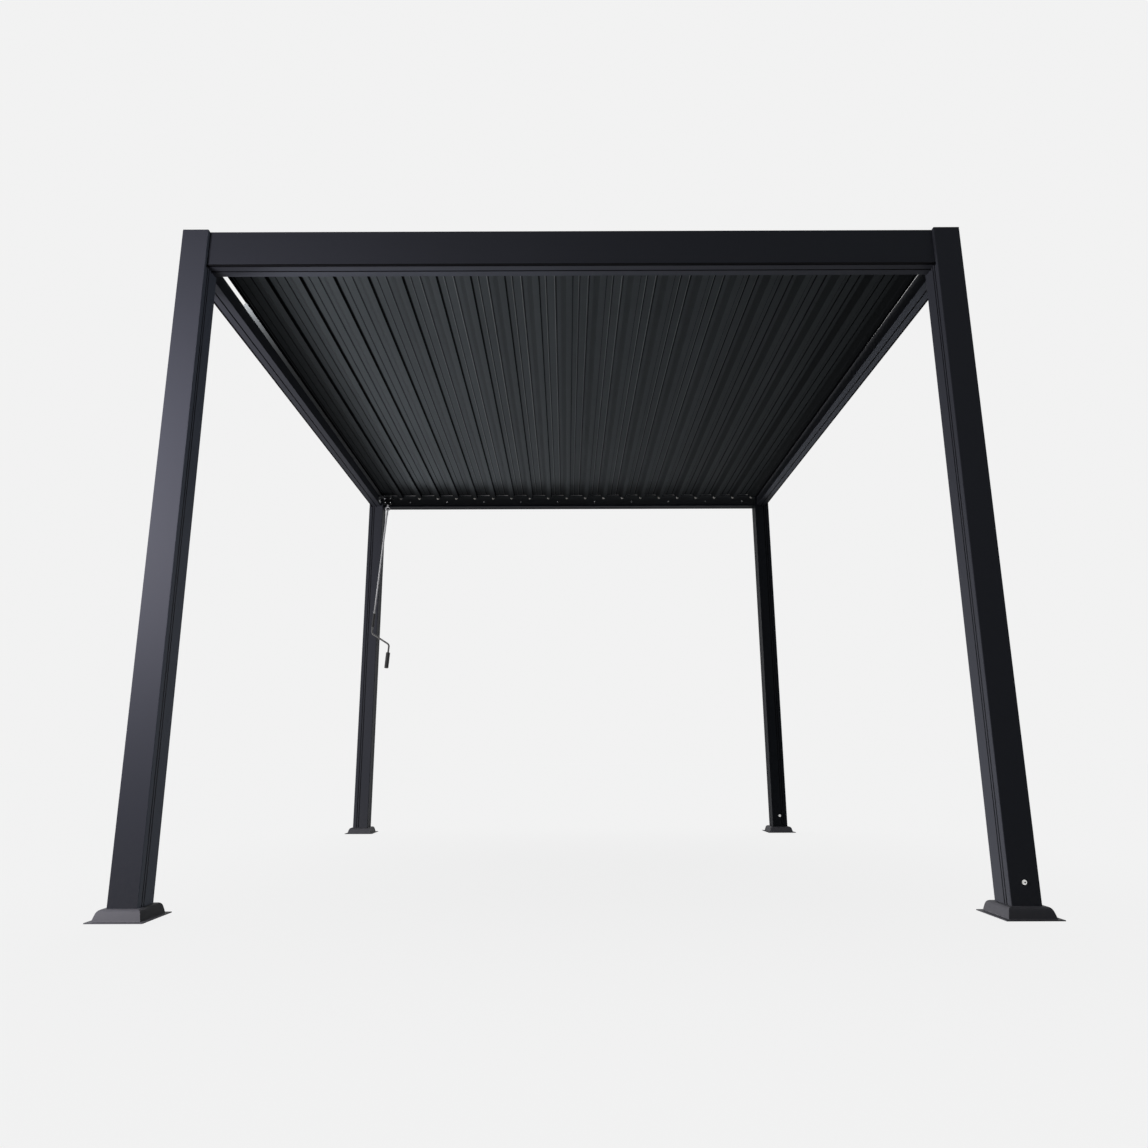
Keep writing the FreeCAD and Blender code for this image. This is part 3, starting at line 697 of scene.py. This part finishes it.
def repeated(shapeName, finish, points, size=1.0):
    # points: (place, turn); gives a plain mesh
    mesh = bpy.data.meshes.new("points")
    mesh.from_pydata([place for place, turn in points], [], [])
    turns = mesh.attributes.new("turn", "FLOAT_VECTOR", "POINT")
    turns.data.foreach_set("vector", [value for place, turn in points for value in turn])
    carrier = bpy.data.objects.new("carrier", mesh)
    scene.collection.objects.link(carrier)
    modifier = carrier.modifiers.new("setOnPoints", "NODES")
    modifier.node_group = pointTree
    sockets = {item.name: item.identifier for item in pointTree.interface.items_tree
               if item.in_out == "INPUT"}
    modifier[sockets["Shape"]] = shapes[shapeName]
    modifier[sockets["Size"]] = size
    modifier[sockets["Finish"]] = materials[finish]
    depsgraph = bpy.context.evaluated_depsgraph_get()
    result = bpy.data.meshes.new_from_object(carrier.evaluated_get(depsgraph), depsgraph=depsgraph)
    carrier.modifiers.clear()
    bpy.data.objects.remove(carrier)
    return result


def joined(name, meshes):
    # one mesh from several, each keeping its own material
    whole = bmesh.new()
    mesh = bpy.data.meshes.new(name)
    for part in meshes:
        first = len(mesh.materials)
        for material in part.materials:
            mesh.materials.append(material)
        start = len(whole.faces)
        whole.from_mesh(part)
        whole.faces.ensure_lookup_table()
        for face in whole.faces[start:]:
            face.material_index += first
    whole.to_mesh(mesh)
    whole.free()
    return mesh


def along(profile, *places):      # an (x, z) section at each y
    return [[(x, y, z) for x, z in profile] for y in places]


def strip(name, sections, finish):
    mesh = skinned(name, sections)
    mesh.materials.append(materials[finish])
    return mesh


def addPiece(name, mesh, body):
    piece = bpy.data.objects.new(name, mesh)
    scene.collection.objects.link(piece)
    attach(piece, body)
    return piece


# louvre ends and seals; screws and the seal's section are measured from the pivot
louvreEnds = {
    "capFace": 1.387,
    "screwPlaces": ((-0.107, 0.0235), (-0.067, 0.0300), (-0.011, 0.0120)),
    "sealProfile": ((0.0219, -0.0052), (0.0231, -0.0058), (0.0240, -0.0044), (0.0236, -0.0016),
                    (0.0236, 0.0056), (0.0244, 0.0076), (0.0238, 0.0096), (0.0219, 0.0090)),
    "sealEnd": 1.3835,
}


def makeLouvreEnds():
    s = louvreEnds
    face, end = s["capFace"], s["sealEnd"]
    pivotX, pivotZ = firstPivot[0], firstPivot[2]
    pinX, pinZ = hinges["tie_bar"]["pos_m"][0], hinges["tie_bar"]["pos_m"][2]
    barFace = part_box("tie_bar")[1][1]
    ends = ((-face, facing["front"]), (face, facing["back"]))
    screws = [((pivotX + x, y, pivotZ + z), turn) for x, z in s["screwPlaces"] for y, turn in ends]
    hardware = joined("hardware", [
        repeated("panScrew", "screwSteel", screws),
        repeated("pinSleeve", "paleNylon", [((pivotX, y, pivotZ), turn) for y, turn in ends]),
        repeated("barSpacer", "paleNylon", [((pinX, face, pinZ), facing["back"])]),
        repeated("barClip", "screwSteel", [((pinX, barFace, pinZ), facing["back"])])])
    profile = [(pivotX + x, pivotZ + z) for x, z in s["sealProfile"]]
    seal = strip("seal", along(profile, -end, 0.0, end), "sealRubber")
    for index, body in enumerate(louvres):
        shift = Matrix.Translation((index * louvrePitch, 0.0, 0.0))
        for name, mesh, slot in (("end_hardware", hardware, "link_steel"),
                                 ("joint_seal", seal, "grip_plastic")):
            own = mesh.copy()
            own.transform(shift)
            addPiece("%s_%02d" % (name, index + 1), own, body)


makeLouvreEnds()
print("stage: louvre ends")

# rails: a bush for each louvre pin and the screws that hold the rail
railScrews = {"drop": 0.030, "every": 2}


def makeRails():
    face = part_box("pivot_rail_back")[0][1]
    pivotZ = firstPivot[2]
    bushes = []
    screws = []
    for y, turn in ((-face, facing["back"]), (face, facing["front"])):
        for index in range(len(louvres)):
            x = firstPivot[0] + index * louvrePitch
            bushes.append(((x, y, pivotZ), turn))
            if index % railScrews["every"] == 0:
                screws.append(((x + louvrePitch / 2, y, pivotZ - railScrews["drop"]), turn))
    mesh = joined("railFittings", [repeated("bush", "paleNylon", bushes),
                                   repeated("flatScrew", "screwSteel", screws)])
    addPiece("rail_fittings", mesh, "frame")


makeRails()
print("stage: rails")

# the two side gaps: a painted flashing on the left gutter, rubber on the outermost louvres
sideSeals = {
    "end": 1.383,
    "flashing": ((-1.4190, 2.4238), (-1.4190, 2.4250), (-1.4156, 2.4252), (-1.4046, 2.4392),
                 (-1.4036, 2.4386), (-1.4148, 2.4241)),
    "flashingStart": -1.12,       # the photograph shows the gap open in front of this
    "flashingEnd": 1.392,
    "leftLip": ((-1.3915, 2.4412), (-1.3915, 2.4440), (-1.4040, 2.4440), (-1.4080, 2.4426),
                (-1.4076, 2.4411)),
    "rightFoot": ((1.3968, 2.4290), (1.3968, 2.4196), (1.3984, 2.4188)),
    "rightTips": ((1.4086, 2.4212), (1.4090, 2.4148)),       # front and back
    "rightTipThick": (0.0006, 0.0014),
    "rightTop": ((1.3998, 2.4208), (1.3992, 2.4290)),
}
# daylight that comes in by the open end of the left gap
leakLight = {"place": (-1.21, -1.22, 2.28), "aim": (-1.409, -1.22, 2.431), "size": 0.05, "power": 2.2,
             "colour": (1.0, 1.0, 1.0)}


def makeSideSeals():
    s = sideSeals
    end = s["end"]
    sections = along(s["flashing"], s["flashingStart"], 0.0, s["flashingEnd"])
    flashing = addPiece("side_flashing", strip("flashing", sections, "gapStrip"), "frame")
    linkLight(addAreaLamp("leakLamp", leakLight), [flashing], "INCLUDE")
    sections = along(s["leftLip"], -end, 0.0, end)
    addPiece("side_lip_left", strip("lip", sections, "sealRubber"), louvres[0])
    front, back = (Vector(tip) for tip in s["rightTips"])
    sections = []
    for share, y in ((0.0, -end), (0.5, 0.0), (1.0, end)):
        tip = front.lerp(back, share)
        profile = [*s["rightFoot"], tuple(tip), tuple(tip + Vector(s["rightTipThick"])), *s["rightTop"]]
        sections += along(profile, y)
    addPiece("side_lip_right", strip("lip", sections, "sealRubber"), louvres[-1])


makeSideSeals()
print("stage: side seals")

# gearbox screws and plate bolts, measured from the gearbox's shaft
gearScrews = {
    "caseX": (-0.019, 0.019),
    "caseZ": (-0.019, 0.010),
    "topX": (-0.016, 0.016),
    "topY": (-0.0395, -0.0175),
    "boltY": (-0.0505, -0.0205),
    "boltZ": -0.004,
    "plateThick": 0.003,
}


def makeGear():
    s = gearScrews
    shaftX, shaftY, shaftZ = hinges["drive_arm"]["pos_m"]
    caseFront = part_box("gearbox")[0][1]
    plateLow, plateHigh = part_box("gearbox_plate")
    case = [((shaftX + x, caseFront, shaftZ + z), facing["front"]) for x in s["caseX"] for z in s["caseZ"]]
    top = [((shaftX + x, shaftY + y, plateHigh[2]), facing["up"]) for x in s["topX"] for y in s["topY"]]
    side = plateLow[0] + s["plateThick"]
    bolts = [((side, shaftY + y, shaftZ + s["boltZ"]), facing["right"]) for y in s["boltY"]]
    mesh = joined("gearFittings", [repeated("panScrew", "screwSteel", case + top),
                                   repeated("hexBolt", "screwSteel", bolts)])
    addPiece("gear_fittings", mesh, "frame")


# crank collars and grip ribs, by lengths along the crank's own line
crankLine = {
    "rodTop": 0.0755,             # under the worm boss, stem, eye and hook
    "rodLength": 0.934,
    "sleeveTop": 0.8635,
    "reach": 0.130,
    "step": 0.076,
    "handle": 0.162,
    "gripLength": 0.110,
    "gripEnd": 0.006,
    "ribs": 9,
    "ribSpacing": 0.0095,
    "collarBelowHook": 0.010,
    "collarAboveSleeve": 0.006,
}


def makeCrankFittings():
    s = crankLine
    top = Vector(hinges["crank"]["pos_m"])
    down = -Vector(hinges["crank"]["axis"]).normalized()
    side = down.cross(Vector((0.0, 1.0, 0.0))).normalized()
    turn = tuple((-down).to_track_quat("Z", "Y").to_euler())
    bend = top + down * (s["rodTop"] + s["rodLength"])
    gripLow = bend + side * s["reach"] + down * (s["step"] + s["handle"] + s["gripEnd"])
    middle = gripLow - down * s["gripLength"] / 2
    steps = [(index - (s["ribs"] - 1) / 2) * s["ribSpacing"] for index in range(s["ribs"])]
    ribs = [(tuple(middle + down * step), turn) for step in steps]
    heights = (s["rodTop"] + s["collarBelowHook"], s["sleeveTop"] - s["collarAboveSleeve"])
    collars = [(tuple(top + down * height), turn) for height in heights]
    addPiece("grip_ribs", repeated("gripRib", "gripPlastic", ribs), "crank")
    addPiece("rod_collars", repeated("rodCollar", "crankPaint", collars), "crank")


def makeDrains():                 # a gasket behind each outlet's flange
    low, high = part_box("drain_outlets")
    x, z = (low[0] + high[0]) / 2, (low[2] + high[2]) / 2
    faces = [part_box(post)[0][1] for post in ("post_front_right", "post_back_right")]
    places = [((x, y, z), facing["front"]) for y in faces]
    addPiece("drain_gaskets", repeated("gasket", "sealRubber", places), "frame")


makeGear()
makeCrankFittings()
makeDrains()
for shape in shapes.values():
    bpy.data.objects.remove(shape)
print("stage: fittings")
